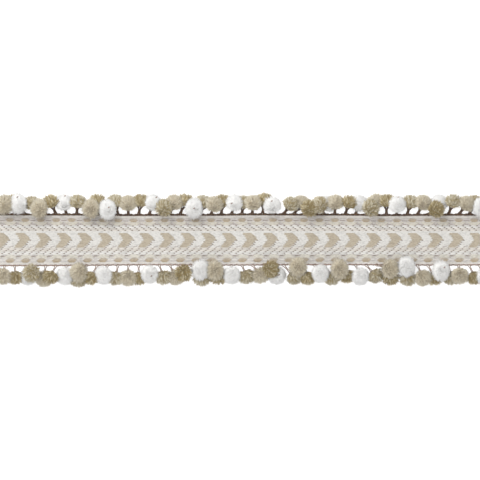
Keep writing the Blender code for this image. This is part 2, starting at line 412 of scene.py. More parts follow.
# %% Twill dots
TWILL_PITCH = PITCH / 3
TWILL_ROWS = 4
TWILL_ROW = 1.15
TWILL_FIRST = {1: 7.6, -1: 7.3}
TWILL_DOT_AT = 4.4
TWILL_SHIFT = 1.62
DOT_LONG = 1.45
DOT_HIGH = 0.7


def twill_dots(x, v, side):
    """The dots of the twill on one side of the tape, one to each turn of a row."""
    rise = (side * v - TWILL_FIRST[side]) / TWILL_ROW + 0.5
    row = rise // 1.0
    t = folded(x - TWILL_DOT_AT + row * TWILL_SHIFT, TWILL_PITCH)
    inside = within(row, -0.5, TWILL_ROWS - 0.5) & (abs(rise - row - 0.5) < DOT_HIGH / 2)
    return (abs(t) < DOT_LONG / 2) & inside

# %% Ovals, the paler lens beside each, and the lines that cross between them
OVAL_PITCH = PITCH * 3 / 4
OVAL_AT = {1: 4.4, -1: 4.6}
OVAL_ACROSS = {1: 15.7, -1: 16.1}
OVAL_HALF_LONG = 3.2
OVAL_HALF_HIGH = {1: 1.5, -1: 1.75}
OVAL_FADE = 0.5
LENS_BASE = 1.5
LENS_HALF_LONG = 5.7
LENS_HIGH = 3.4
LENS_EDGE = 0.92
LINE_EDGE = 1.12
DASH_HALF_LONG = 1.2
DASH_AT = 0.56
DASH_HALF_HIGH = 0.12
BETWEEN_AT = -0.3
BETWEEN_CLEAR = 0.6
BAND_START = {1: 11.2, -1: 11.7}
BAND_END = 17.7
OvalParts = namedtuple("OvalParts", "oval full lens lines dash between band")


def oval_parts(x, v, side):
    """Oval and how full its colour is, lens, crossing lines, two dashes, and the band they lie in."""
    out = side * v
    t = folded(x - OVAL_AT[side], OVAL_PITCH)
    up = out - OVAL_ACROSS[side]
    oval = (t / OVAL_HALF_LONG) ** 2 + (abs(up) / OVAL_HALF_HIGH[side]) ** 2 < 1
    full = 1 - OVAL_FADE * (side * up / OVAL_HALF_HIGH[side] * 0.5 + 0.5).clamped()
    inward = (0 - up - LENS_BASE) / LENS_HIGH
    bulge = (abs(t) / LENS_HALF_LONG) ** 2 + inward
    lens = (bulge < LENS_EDGE) & (inward > 0)
    lines = within(bulge, LENS_EDGE, LINE_EDGE) & (inward > 0)
    dash = (abs(t) > OVAL_PITCH / 2 - DASH_HALF_LONG) & (abs(inward - DASH_AT) < DASH_HALF_HIGH)
    between = (abs(up - BETWEEN_AT) < LINE_HALF_HIGH) & (abs(t) > OVAL_HALF_LONG + BETWEEN_CLEAR)
    band = within(out, BAND_START[side], BAND_END)
    return OvalParts(oval, full, lens, lines, dash, between, band)

# %% [markdown]
# ## Tape finish
# The threads are matt cotton: ivory in the middle, beige in the chevrons, a strip of sand under each
# twill, and ovals of tan that fade upwards, over a ground of pale lilac grey. The pattern is read at
# the stored place of each thread, so one thread has one colour, as in the real weave. A fine bump
# stands for the fibres, and a slanting wave in it for the twist of the threads.

# %% Fibres and a matt surface
BUMP_DEPTH = 0.1 * MM
FIBRE_SIZE = 0.3 * MM
FIBRE_BUMP = 0.4


def object_place(bench):
    return bench.get("ShaderNodeTexCoord", None, None, "Object")


def fibres(bench, shader, extra=0.0):
    """Relief finer than the mesh: a grain of fibres, and what else there is."""
    high = bench.noise(object_place(bench), FIBRE_SIZE, detail=2.0) + extra
    inputs = {"Strength": FIBRE_BUMP, "Distance": BUMP_DEPTH, "Height": high}
    feed(bench, shader, "Normal", bench.get("ShaderNodeBump", None, inputs))


def matt(shader, roughness, specular, sheen):
    """Constants of a matt surface, with no colour or relief."""
    shader.inputs["Roughness"].default_value = roughness
    shader.inputs["Specular IOR Level"].default_value = specular
    shader.inputs["Sheen Weight"].default_value = sheen

# %% Tape material
IVORY = linear(206, 204, 200)
SAND = linear(201, 196, 189)
BEIGE = linear(177, 167, 150)
LINE = linear(172, 165, 159)
DASH = linear(146, 136, 128)
# TAN, LENS, GROUND and EDGE are a little darker on the upper side (1): painted shade from the upper row of
# pompoms.
TAN = {1: linear(167, 152, 128), -1: linear(174, 158, 132)}
LENS = {1: linear(197, 192, 181), -1: linear(203, 199, 189)}
GROUND = {1: linear(195, 190, 186), -1: linear(199, 195, 191)}
EDGE = {1: linear(213, 209, 203), -1: linear(218, 214, 208)}
DOT = {1: linear(104, 88, 74), -1: linear(122, 108, 96)}
BETWEEN = {1: linear(142, 132, 124), -1: linear(218, 215, 210)}
EDGE_END = 19.4
SAND_START = {1: 6.9, -1: 6.2}
SAND_END = 9.4
TWIST_PITCH = 0.32 * MM
TWIST_SLANT = 0.8
TWIST_SHARE = 0.3
GAP_SHADE_AND_TONE = 0.25
ALL_CLOTH = 0.999


def tape_layers(x, v, on_float):
    """Each motif's mask and its colour, from the lowest coat to the highest."""
    body, dots, lead_shadow = chevron_parts(x, v)
    # The chevron's grey line is painted shadow, and its dark stair dots are painted shade.
    layers = [(lead_shadow, LINE), (body, BEIGE), (dots & on_float, DOT[1])]
    for side in (1, -1):
        out = side * v
        parts = oval_parts(x, v, side)
        band = parts.band
        layers.append((within(out, SAND_START[side], SAND_END), SAND))
        layers += [(band, GROUND[side]), (parts.lens & band, LENS[side]), (parts.lines & band, LINE)]
        layers += [(parts.dash & band, DASH), (parts.between & band, BETWEEN[side])]
        layers.append((parts.oval * parts.full, TAN[side]))
        # Twill dots, on floats only: brown thread, darkened further as painted shade in the gap at each
        # turn.
        layers.append((twill_dots(x, v, side) & on_float, DOT[side]))
        layers.append((within(out, BAND_END, EDGE_END), EDGE[side]))
    return layers


def tape_material():
    material, bench, shader = new_material("woven_cotton")
    x, v, _ = bench.parts(bench.scaled(attribute(bench, "place", "Vector"), 1 / MM))
    loose = attribute(bench, "shade")
    colour = IVORY
    for mask, coat in tape_layers(x, v, loose < ALL_CLOTH):
        colour = mixed(bench, mask, colour, coat)
    # The cloth, stored with shade 1, comes out darkest: painted shade in the gaps between threads. Floats
    # get a random tone.
    shade = 1 - GAP_SHADE_AND_TONE * (loose ** 2.0)
    grey = bench.joined(shade, shade, shade)
    feed(bench, shader, "Base Color", mixed(bench, 1.0, colour, grey, "MULTIPLY"))
    along, across, _ = bench.parts(object_place(bench))
    twist = ((along + across * TWIST_SLANT) * (2 * math.pi / TWIST_PITCH)).sine()
    fibres(bench, shader, TWIST_SHARE * twist)
    matt(shader, roughness=0.9, specular=0.2, sheen=0.15)
    return material


COTTON = tape_material()
print("tape material nodes:", len(COTTON.node_tree.nodes))

# %% [markdown]
# ## The cloth
# Under the threads that show lies the body of the cloth, a closed sheet a millimetre thick. It is a
# grid whose copy is pushed up to the cloth's thickness, so that it has a back and four narrow
# sides. It takes the threads' colours, darkened as painted shade in the gaps between threads.

# %% Height of the cloth's face
CLOTH_HIGH = 1.1
EDGE_THINNER = 0.25
EDGE_CURVE = 4.0
MOTIF_RELIEF = 0.2


def face_height(x, v):
    """Height of the cloth in millimetres where threads lie on it."""
    thin = EDGE_THINNER * (abs(v) / (TAPE_HALF_WIDTH / MM)) ** EDGE_CURVE
    raised = chevron_parts(x, v)[0]
    for side in (1, -1):
        raised = raised | oval_parts(x, v, side).oval
    return CLOTH_HIGH - thin + MOTIF_RELIEF * raised


def on_tape(bench, place, height):
    """Place on the real tape of a point given on the straight, flat one."""
    x, y, _ = bench.parts(place)
    share = y / TAPE_HALF_WIDTH
    above = y > 0.0
    drift = above * edge_drift(x, 1) + (1 - above) * edge_drift(x, -1)
    return bench.joined(x, y + drift * abs(share) * (2 * above - 1), height)

# %% Cloth tree
SAME_PLACE = 0.01 * MM


def stored(bench, geometry, name, value, kind="FLOAT", domain="POINT"):
    """Geometry with a value stored on it under a name."""
    inputs = {"Geometry": geometry, "Name": name, "Value": value}
    return bench.get("GeometryNodeStoreNamedAttribute", {"data_type": kind, "domain": domain}, inputs)


def moved_to(bench, geometry, position):
    return bench.get("GeometryNodeSetPosition", None, {"Geometry": geometry, "Position": position})


def cloth_tree():
    bench, given = new_tree("cloth", ("Length", "Width"), ("Columns", "Rows"))
    sizes = {"Size X": given["Length"], "Size Y": given["Width"]}
    counts = {"Vertices X": given["Columns"], "Vertices Y": given["Rows"]}
    grid = bench.get("GeometryNodeMeshGrid", None, {**sizes, **counts})
    lifted = {"Mesh": grid, "Offset": (0.0, 0.0, 1.0), "Offset Scale": 1.0, "Individual": False}
    top = bench.get("GeometryNodeExtrudeMesh", None, lifted)
    back = bench.get("GeometryNodeFlipFaces", None, {"Mesh": grid})
    both = bench.get("GeometryNodeJoinGeometry", None, {"Geometry": [top, back]})
    closed = bench.get("GeometryNodeMergeByDistance", None, {"Geometry": both, "Distance": SAME_PLACE})
    place = bench.get("GeometryNodeInputPosition")
    marked = stored(bench, closed, "place", place, "FLOAT_VECTOR")
    # Shade 1 marks the cloth, which the tape material darkens as painted shade in the gaps.
    shaded = stored(bench, marked, "shade", 1.0)
    x, y, z = bench.parts(place)
    high = z * face_height(x / MM, y / MM) * MM
    return close_tree(bench, given, moved_to(bench, shaded, on_tape(bench, place, high)))


cloth = run_tree(
    cloth_tree(),
    "woven_tape_cloth",
    bpy.data.meshes.new("nothing"),
    COTTON,
    length=TAPE_LENGTH,
    width=2 * TAPE_HALF_WIDTH,
    columns=12 * CHEVRONS + 1,
    rows=33,
)

# %% [markdown]
# ## The threads that show
# A float is a stretch of thread that lies on the face between two places where it dips under. The
# middle band, the oval bands and the edges are short floats laid like bricks. The twill is long
# floats in four rows, with a short dark one at each turn. All are one small loaf of a dozen
# triangles, set out by one tree, whose inputs say how many columns and rows, how far apart, and how
# far each row is shifted along.

# %% One float
def float_shape():
    """A loaf one unit long, wide and high: six corners at the bottom and a ridge on top."""
    shoulder, ridge, foot, top = 0.33, 0.27, -0.4, 0.6
    rim = [(0.5, 0), (shoulder, 0.5), (-shoulder, 0.5), (-0.5, 0), (-shoulder, -0.5), (shoulder, -0.5)]
    corners = [(x, y, foot) for x, y in rim] + [(ridge, 0, top), (-ridge, 0, top)]
    front, back = 6, 7
    faces = [(5, 4, 3, 2, 1, 0), (0, 1, front), (1, 2, back, front), (2, 3, back)]
    faces += [(3, 4, back), (4, 5, front, back), (5, 0, front)]
    mesh = bpy.data.meshes.new("float")
    mesh.from_pydata(corners, [], faces)
    return mesh


FLOAT = float_shape()
print("float faces:", len(FLOAT.polygons))

# %% Tree that sets floats out
SIZES = ("First x", "First row", "Column step", "Row step", "Row shift", "Long", "Wide", "High")
LOWEST = 0.85
HIGHER = 0.3


def random(bench, seed, kind="FLOAT", low=0.0, high=1.0):
    """A random value for each point."""
    inputs = {"Min": low, "Max": high, "Seed": seed}
    return bench.get("FunctionNodeRandomValue", {"data_type": kind}, inputs, "Value")


def float_tree():
    """Floats in rows and columns, every size in millimetres."""
    bench, given = new_tree("floats", SIZES, ("Columns", "Rows"))
    index = bench.get("GeometryNodeInputIndex")
    row = index // given["Columns"]
    column = index - row * given["Columns"]
    x = given["First x"] + column * given["Column step"] + (row * given["Row shift"]) % given["Column step"]
    v = given["First row"] + row * given["Row step"]
    flat = bench.joined(x * MM, v * MM, 0.0)
    count = {"Count": given["Columns"] * given["Rows"], "Position": flat}
    points = bench.get("GeometryNodePoints", None, count)
    shade = random(bench, given["Seed"])
    place = bench.get("GeometryNodeInputPosition")
    marked = stored(bench, points, "place", place, "FLOAT_VECTOR")
    shaded = stored(bench, marked, "shade", shade)
    px, py, _ = bench.parts(place)
    laid = moved_to(bench, shaded, on_tape(bench, place, face_height(px / MM, py / MM) * MM))
    high = given["High"] * MM * (LOWEST + HIGHER * shade)
    size = bench.joined(given["Long"] * MM, given["Wide"] * MM, high)
    inputs = {"Points": laid, "Instance": given["Geometry"], "Scale": size}
    return close_tree(bench, given, bench.get("GeometryNodeInstanceOnPoints", None, inputs))


FLOATS = float_tree()

# %% [markdown]
# Bands of short floats fill the middle, the rows of ovals and the edges, and the twill lies
# between. They share one column pitch, a twelfth of a chevron, and each row is shifted by half a
# column. The rows of the two edges lie a little closer, as the real ones do.

# %% Bands of floats
Band = namedtuple("Band", "name first_row rows row_step high seed")
BANDS = (
    Band("chevron", -6.5, 22, 0.55, 0.42, 1),
    Band("upper_twill_line", 5.6, 3, 0.55, 0.4, 2),
    Band("upper_oval", 11.85, 11, 0.55, 0.4, 4),
    Band("lower_oval", -18.0, 13, 0.55, 0.4, 5),
    Band("upper_edge", 18.0, 3, 0.48, 0.35, 6),
    Band("lower_edge", -18.96, 2, 0.48, 0.35, 7),
)
FINE = PITCH / 12
FINE_LONG = 1.35
FINE_WIDE = 1.5
FROM_END = 0.55
HALF_TAPE = TAPE_LENGTH / MM / 2


def lay_band(band):
    """Floats of one band, over the tape's whole length."""
    return run_tree(
        FLOATS,
        band.name + "_floats",
        FLOAT,
        COTTON,
        first_x=-HALF_TAPE + FROM_END * FINE,
        first_row=band.first_row,
        column_step=FINE,
        row_step=band.row_step,
        row_shift=FINE / 2,
        long=FINE_LONG * FINE,
        wide=FINE_WIDE * band.row_step,
        high=band.high,
        columns=math.floor(2 * HALF_TAPE / FINE - FROM_END),
        rows=band.rows,
        seed=band.seed,
    )


band_floats = [lay_band(band) for band in BANDS]

# %% Twill: a long float and a short dark one in turn
SIDE_NAME = {1: "upper", -1: "lower"}
Thread = namedtuple("Thread", "name turn long wide high")
TUCK = 0.5
THREADS = (
    Thread("twill_floats", TWILL_DOT_AT + TWILL_PITCH / 2, TWILL_PITCH - DOT_LONG + TUCK, 1.2, 0.5),
    Thread("dots", TWILL_DOT_AT, DOT_LONG, 0.95, 0.45),
)
TWILL_SEED = 20


def lay_twill(side, thread):
    """One side's twill: its long ivory floats, or its short dark ones. Rows run from low y to high."""
    rows_out = TWILL_ROWS - 1 if side < 0 else 0
    turn = thread.turn - rows_out * TWILL_SHIFT
    return run_tree(
        FLOATS,
        f"{SIDE_NAME[side]}_{thread.name}",
        FLOAT,
        COTTON,
        first_x=-HALF_TAPE + (turn + HALF_TAPE) % TWILL_PITCH,
        first_row=side * (TWILL_FIRST[side] + rows_out * TWILL_ROW),
        column_step=TWILL_PITCH,
        row_step=TWILL_ROW,
        row_shift=-side * TWILL_SHIFT,
        long=thread.long,
        wide=TWILL_ROW * thread.wide,
        high=thread.high,
        columns=math.floor(2 * HALF_TAPE / TWILL_PITCH) - 1,
        rows=TWILL_ROWS,
        seed=TWILL_SEED + side,
    )


twill_floats = [lay_twill(side, thread) for side in (1, -1) for thread in THREADS]

# %% [markdown]
# ## Yarn of the edges and stems
# A dark yarn is bound along each edge, and every pompom hangs on a stem of the same yarn. Yarn is
# twisted from plies, and each ply is a tube that winds round the yarn's own line. The tree below
# makes the plies from any curve: it copies the curve once for each ply, and moves each copy round
# the line by an angle that grows with the distance along it.

# %% Brown yarn material
YARN_PATCH = 1.2 * MM


def patches(bench, size, detail, low, gain):
    """Soft patches of 0 to 1 over a whole piece: a noise with its contrast raised."""
    return ((bench.noise(object_place(bench), size, detail) - low) * gain).clamped()


def yarn_material(name, dark, light):
    """Matt twisted yarn, lighter in patches."""
    material, bench, shader = new_material(name)
    spread = patches(bench, YARN_PATCH, detail=3.0, low=0.35, gain=3.0)
    feed(bench, shader, "Base Color", mixed(bench, spread, dark, light))
    fibres(bench, shader)
    matt(shader, roughness=0.95, specular=0.15, sheen=0.1)
    return material


BROWN = {
    1: yarn_material("dark_brown_yarn", linear(62, 46, 36), linear(112, 92, 76)),
    -1: yarn_material("taupe_yarn", linear(112, 94, 82), linear(164, 143, 130)),
}

# %% Tree that twists yarn along a curve
def yarn_tree():
    sizes = ("Ply radius", "Wind radius", "Turn length", "Step")
    bench, given = new_tree("twisted_yarn", sizes, ("Plies", "Sides"))
    line = {"Curve": given["Geometry"], "Length": given["Step"]}
    even = bench.get("GeometryNodeResampleCurve", {"mode": "LENGTH"}, line)
    copies = {"Geometry": even, "Amount": given["Plies"]}
    duplicate = bench.add("GeometryNodeDuplicateElements", {"domain": "SPLINE"}, copies)
    plies, number = (Quantity(bench, output) for output in duplicate.outputs)
    along = bench.get("GeometryNodeSplineParameter", None, None, "Length")
    angle = 2 * math.pi * (along / given["Turn length"] + number / given["Plies"])
    normal = bench.get("GeometryNodeInputNormal", None, None, "Normal")
    tangent = bench.get("GeometryNodeInputTangent")
    sideways = bench.vector("CROSS_PRODUCT", tangent, normal)
    wound = bench.vector("ADD", bench.scaled(normal, angle.cosine()), bench.scaled(sideways, angle.sine()))
    thickness = bench.get("GeometryNodeInputRadius")
    offset = bench.scaled(wound, given["Wind radius"] * thickness)
    moved = bench.get("GeometryNodeSetPosition", None, {"Geometry": plies, "Offset": offset})
    ring = {"Resolution": given["Sides"], "Radius": given["Ply radius"]}
    profile = bench.get("GeometryNodeCurvePrimitiveCircle", None, ring)
    swept = {"Curve": moved, "Profile Curve": profile, "Scale": thickness, "Fill Caps": True}
    return close_tree(bench, given, bench.get("GeometryNodeCurveToMesh", None, swept))


TWISTED = yarn_tree()


def lines_curve(name, lines):
    """Curve data with one spline for each line, a list of places and thicknesses."""
    curve = bpy.data.curves.new(name, "CURVE")
    curve.dimensions = "3D"
    for line in lines:
        spline = curve.splines.new("POLY")
        spline.points.add(len(line) - 1)
        for point, (place, thickness) in zip(spline.points, line):
            point.co = (*place, 1.0)
            point.radius = thickness
    return curve

# %% [markdown]
# The binding closes the small gap that the solid model leaves between the tape and its fringe. It
# lies on the very edge of the cloth in small scallops, and swells at the top of each, most on the
# upper edge, where it shows as a row of dark knots.

# %% Bindings
BINDING_OUT = 19.85 * MM
BINDING_LIFT = 0.78 * MM
BINDING_PLY = {1: 0.42 * MM, -1: 0.36 * MM}
BINDING_WIND = {1: 0.30 * MM, -1: 0.26 * MM}
BINDING_STEP = 0.7 * MM
SCALLOP = 0.3 * MM
SCALLOP_SWELL = {1: 0.55, -1: 0.1}
SCALLOP_LENGTH = PITCH * MM / 4


def edge_line(side):
    """The binding's line, point by point."""
    count = round(TAPE_LENGTH / BINDING_STEP)
    line = []
    for number in range(count + 1):
        x = -TAPE_LENGTH / 2 + TAPE_LENGTH * number / count
        scallop = abs(math.sin(math.pi * x / SCALLOP_LENGTH))
        y = BINDING_OUT + edge_drift(x, side) + SCALLOP * scallop
        thickness = 1 + SCALLOP_SWELL[side] * scallop**2
        line.append(((x, side * y, BINDING_LIFT * thickness), thickness))
    return line


bindings = {
    side: run_tree(
        TWISTED,
        SIDE_NAME[side] + "_binding",
        lines_curve("edge", [edge_line(side)]),
        BROWN[side],
        plies=2,
        sides=6,
        ply_radius=BINDING_PLY[side],
        wind_radius=BINDING_WIND[side],
        turn_length=3.3 * MM,
        step=0.42 * MM,
    )
    for side in (1, -1)
}

# %% [markdown]
# ## Where the pompoms lie
# There are 48 pompoms on each side, in the order marl, greige, khaki, white, a run of four on every
# two chevrons. On the real trim they crowd: each leans its own way, most lie on the surface, and
# some flop over the tape's edge. The rows below give each one's lean along the tape, the distance
# of its centre out from the binding and its height, in millimetres, as in the solid model.

# %% Leans and heights
CYCLE = ("marl", "greige", "khaki", "white")
RADIUS = {"marl": 7.3 * MM, "greige": 7.6 * MM, "khaki": 7.3 * MM, "white": 7.7 * MM}
RUNS = {
    1: (
        ((-0.5, 7.8, 6.0), (0.0, 7.0, 12.0), (-2.0, 8.0, 5.0), (-5.3, 7.9, 11.5)),
        ((-2.8, 7.0, 5.0), (-5.0, 4.2, 12.5), (-3.7, 8.2, 9.0), (-1.9, 8.2, 7.0)),
        ((0.6, 8.2, 9.0), (3.1, 4.0, 13.0), (0.0, 8.6, 5.5), (-0.2, 3.4, 12.5)),
        ((-2.0, 8.6, 6.0), (-0.3, 7.7, 9.0), (1.5, 9.0, 6.5), (3.2, 8.2, 8.5)),
        ((3.4, 4.6, 13.0), (3.5, 8.2, 8.5), (3.7, 9.0, 5.5), (3.0, 4.6, 12.5)),
        ((1.9, 7.8, 5.5), (2.5, 6.8, 10.5), (1.0, 8.6, 6.0), (2.0, 8.0, 10.0)),
        ((0.9, 7.4, 5.5), (0.6, 7.6, 9.5), (1.2, 9.4, 6.0), (-0.6, 6.2, 10.0)),
        ((5.5, 6.6, 9.5), (6.0, 7.4, 5.0), (3.8, 3.8, 12.5), (9.5, 7.2, 5.0)),
        ((-3.9, 6.4, 11.5), (0.2, 8.0, 9.0), (2.7, 7.9, 9.0), (2.5, 7.8, 5.5)),
        ((3.8, 4.8, 12.5), (0.0, 9.0, 5.5), (0.0, 9.0, 7.0), (0.2, 7.2, 10.5)),
        ((2.4, 8.2, 7.0), (4.2, 8.0, 9.0), (5.9, 3.4, 13.0), (0.8, 8.0, 5.5)),
        ((3.4, 8.6, 9.0), (5.9, 7.4, 9.0), (4.9, 8.0, 5.0), (1.8, 5.4, 11.5)),
    ),
    -1: (
        ((-2.0, 8.0, 6.0), (-1.2, 7.4, 9.0), (0.2, 7.5, 6.5), (2.3, 7.6, 5.5)),
        ((-2.8, 5.1, 13.5), (-1.4, 9.3, 5.0), (-4.1, 7.5, 11.0), (-1.1, 7.6, 7.5)),
        ((1.0, 9.7, 5.0), (-6.5, 5.1, 12.5), (-4.7, 8.2, 8.0), (-3.0, 7.4, 9.5)),
        ((-1.6, 8.6, 7.0), (-0.2, 9.2, 9.0), (0.0, 8.6, 6.0), (0.4, 6.8, 10.5)),
        ((3.0, 8.2, 7.0), (4.7, 8.4, 6.0), (2.5, 5.4, 12.5), (8.2, 3.6, 12.0)),
        ((1.1, 9.1, 5.5), (3.3, 3.9, 13.0), (-2.2, 7.9, 5.5), (0.0, 7.3, 9.0)),
        ((3.3, 7.5, 6.0), (6.2, 7.0, 7.5), (6.0, 2.6, 12.0), (3.0, 7.5, 5.5)),
        ((7.9, 8.2, 5.5), (3.6, 1.4, 12.0), (3.0, 8.6, 6.5), (4.7, 6.2, 11.0)),
        ((5.3, 8.6, 5.5), (3.8, 3.0, 12.0), (1.5, 7.2, 5.0), (3.7, 8.4, 8.5)),
        ((7.0, 7.2, 6.5), (10.8, 2.6, 12.5), (2.9, 8.6, 5.5), (7.8, 1.0, 11.5)),
        ((0.8, 9.0, 5.5), (4.2, 9.0, 8.5), (5.1, 8.6, 5.5), (2.4, 4.3, 11.5)),
        ((2.2, 8.2, 5.5), (0.7, 7.5, 10.5), (4.1, 8.2, 7.0), (3.8, 8.0, 10.0)),
    ),
}

# %% Roots and centres
GAP = 0.3 * MM
BINDING_WIDTH = 1.2 * MM
POMPOM_PITCH = CHEVRON_PITCH / 2
EDGE_OUT = TAPE_HALF_WIDTH + GAP + BINDING_WIDTH
Pompom = namedtuple("Pompom", "colour number side root centre radius")


def place_pompoms(side):
    """Every pompom of one side, with its root in the binding and its centre."""
    rows = [place for run in RUNS[side] for place in run]
    placed = []
    for number, (lean, out, high) in enumerate(rows):
        colour = CYCLE[number % len(CYCLE)]
        root_x = (number - (len(rows) - 1) / 2) * POMPOM_PITCH
        drift = edge_drift(root_x, side)
        root = Vector((root_x, side * (EDGE_OUT - BINDING_WIDTH / 2 + drift), BINDING_LIFT))
        away = side * (EDGE_OUT + drift + out * MM)
        centre = Vector((root_x + lean * MM, away, high * MM))
        placed.append(Pompom(colour, number, side, root, centre, RADIUS[colour]))
    return placed


pompoms = {side: place_pompoms(side) for side in (1, -1)}
print("pompoms on each side:", [len(row) for row in pompoms.values()])

# %% [markdown]
# ## How far a pompom reaches
# A pompom is a ball of yarn ends, but in a crowd it is never round: it is pressed flat where it
# meets the surface, the tape, the binding, a neighbour or a neighbour's stem. Each of those is a
# flat wall, and the reach from the centre in any direction stops at the nearest wall. The ends of
# two neighbours run a few millimetres past the plane between them, as crowded pile does. The side
# that faces the stem is hollow, less on a pompom that has flopped over the edge.

# %% Walls round a pompom
TAPE_TOP = 1.65 * MM
CLEAR_OF_BINDING = 0.9 * MM
CLEAR_OF_STEM = 1.3 * MM + GAP
NEAR_ENOUGH = 1.25
INTERLEAVE = 2.7 * MM
Wall = namedtuple("Wall", "point normal")


def low_walls(pompom):
    """What lies below a pompom or beside its foot: the surface, the tape or the binding."""
    edge = pompom.side * EDGE_OUT
    out = pompom.side * (pompom.centre.y - edge)
    if out < pompom.radius + CLEAR_OF_BINDING and pompom.centre.z > pompom.radius:
        return [Wall(Vector((0, 0, TAPE_TOP + GAP)), Vector((0, 0, -1)))]
    beside = Vector((0, edge + pompom.side * CLEAR_OF_BINDING, 0))
    return [Wall(Vector(), Vector((0, 0, -1))), Wall(beside, Vector((0, -pompom.side, 0)))]


def neighbour_walls(pompom, other):
    """The planes that part a pompom from a neighbour and from that neighbour's stem."""
    walls = []
    apart = other.centre - pompom.centre
    distance = apart.length
    if distance < (pompom.radius + other.radius) * NEAR_ENOUGH:
        squares = distance**2 + pompom.radius**2 - other.radius**2
        toward = apart.normalized()
        walls.append(Wall(pompom.centre + toward * (squares / (2 * distance) + INTERLEAVE), toward))
    stem = other.centre - other.root
    along = (pompom.centre - other.root).dot(stem) / stem.length_squared
    nearest = other.root + stem * min(max(along, 0.0), 1.0 - other.radius / stem.length)
    toward = nearest - pompom.centre
    if toward.length < pompom.radius * NEAR_ENOUGH + CLEAR_OF_STEM:
        walls.append(Wall(nearest - toward.normalized() * CLEAR_OF_STEM, toward.normalized()))
    return walls

# %% Reach in one direction
FLOPPED_ABOVE = 11.2 * MM
FLOPPED_SHAPE = Vector((0.95, 1.13, 0.95))
UPRIGHT_SHAPE = Vector((1.0, 1.0, 0.97))
SPLAY = {"white": 0.98, "marl": 1.12, "greige": 1.05, "khaki": 1.14}
LUMP_SIZE = 0.07
LUMP_SCALE = 1.8
LUMP_SHIFT = 9.0
UNDERSIDE_HOLLOW = {"white": 0.4, "marl": 0.58, "greige": 0.5, "khaki": 0.62}
SIDE_HOLLOW = {1: 1.0, -1: 0.65}
FLOPPED_HOLLOW = 0.35
UNDERSIDE_CURVE = 1.1


def toward_root(pompom, direction):
    return max(0.0, direction.dot((pompom.root - pompom.centre).normalized()))


def reach(pompom, direction, walls):
    """Distance from the centre to the pile's ends. The side that faces the root is hollow."""
    flopped = pompom.centre.z > FLOPPED_ABOVE
    shape = FLOPPED_SHAPE if flopped else UPRIGHT_SHAPE
    splay = (SPLAY[pompom.colour], 1, 1)
    sizes = zip(direction, shape, splay)
    spread = Vector(part / size / more for part, size, more in sizes).length
    place = Vector((pompom.number, pompom.side, 0)) * LUMP_SHIFT
    distance = pompom.radius * (1 + LUMP_SIZE * noise.noise(direction * LUMP_SCALE + place)) / spread
    hollow = UNDERSIDE_HOLLOW[pompom.colour] * SIDE_HOLLOW[pompom.side] * (FLOPPED_HOLLOW if flopped else 1)
    distance *= 1 - hollow * toward_root(pompom, direction) ** UNDERSIDE_CURVE
    for wall in walls:
        facing = wall.normal.dot(direction)
        if facing > 0:
            distance = min(distance, wall.normal.dot(wall.point - pompom.centre) / facing)
    return distance


walls_of = {}
for row in pompoms.values():
    for pompom in row:
        others = [other for other in row if other.number != pompom.number]
        beside = [wall for other in others for wall in neighbour_walls(pompom, other)]
        walls_of[pompom.side, pompom.number] = low_walls(pompom) + beside
print("walls round a pompom, at most:", max(len(walls) for walls in walls_of.values()))

# %% [markdown]
# ## Stems
# The upper stems are thick trunks of six yarns that open towards the pompom. The lower ones are
# thin legs in pairs. A stem is a few lines from the binding into the pompom's hollow underside,
# drawn together half way, and the yarn tree twists each.

# %% Lines of the stems
Stem = namedtuple("Stem", "legs foot waist mouth thickness")
STEMS = {
    1: Stem(legs=6, foot=1.2 * MM, waist=0.62 * MM, mouth=3.0 * MM, thickness=1.2),
    -1: Stem(legs=2, foot=1.1 * MM, waist=0.35 * MM, mouth=0.8 * MM, thickness=1.0),
}
STEM_POINTS = 7
STEM_CURVE = 1.6
STEM_TURN = 0.3
TURN_SCALE = 900
FOOT_FLATNESS = 0.35
INTO_POMPOM = 0.75


def stem_lines(pompom):
    """Legs of one pompom's stem."""
    stem = STEMS[pompom.side]
    to_root = (pompom.root - pompom.centre).normalized()
    depth = reach(pompom, to_root, walls_of[pompom.side, pompom.number]) * INTO_POMPOM
    top = pompom.centre + to_root * depth
    across = to_root.cross(Vector((0, 0, 1))).normalized()
    lift = across.cross(to_root).normalized()
    lines = []
    for leg in range(stem.legs):
        turn = 2 * math.pi * (leg + STEM_TURN * noise.noise(pompom.root * TURN_SCALE)) / stem.legs
        line = []
        for number in range(STEM_POINTS):
            share = number / (STEM_POINTS - 1)
            end = stem.foot if share < 0.5 else stem.mouth
            width = stem.waist + (end - stem.waist) * abs(2 * share - 1) ** STEM_CURVE
            high = FOOT_FLATNESS + (1 - FOOT_FLATNESS) * share
            spoke = across * math.cos(turn) + lift * math.sin(turn) * high
            line.append((pompom.root.lerp(top, share) + spoke * width, stem.thickness))
        lines.append(line)
    return lines


stems = {
    side: run_tree(
        TWISTED,
        SIDE_NAME[side] + "_stems",
        lines_curve("stems", [line for pompom in pompoms[side] for line in stem_lines(pompom)]),
        BROWN[side],
        plies=2,
        sides=5,
        ply_radius=0.27 * MM,
        wind_radius=0.2 * MM,
        turn_length=2.6 * MM,
        step=0.75 * MM,
    )
    for side in (1, -1)
}

# %% [markdown]
# ## Cut pile
# Each pompom is a core with some fifteen hundred cut ends standing on it. The tree scatters points
# evenly over the core, and sets a pointed three-sided cone on each, turned away from the pompom's
# heart, as the ends of a tied bundle are. The ends of one Voronoi cell lean together as a tuft,
# have one tint, and are shorter at the cell's rim, which makes clefts between tufts. No end goes
# below the surface. The tree also stores what the finish needs: how far up the end a point is, a
# shade for each end, and how deep in a cleft it stands.

# %% One end, and the tuft that it is in
SUNK = 0.3
CLEFT_SPREAD = 1.6
CLEFT_CURVE = 1.5


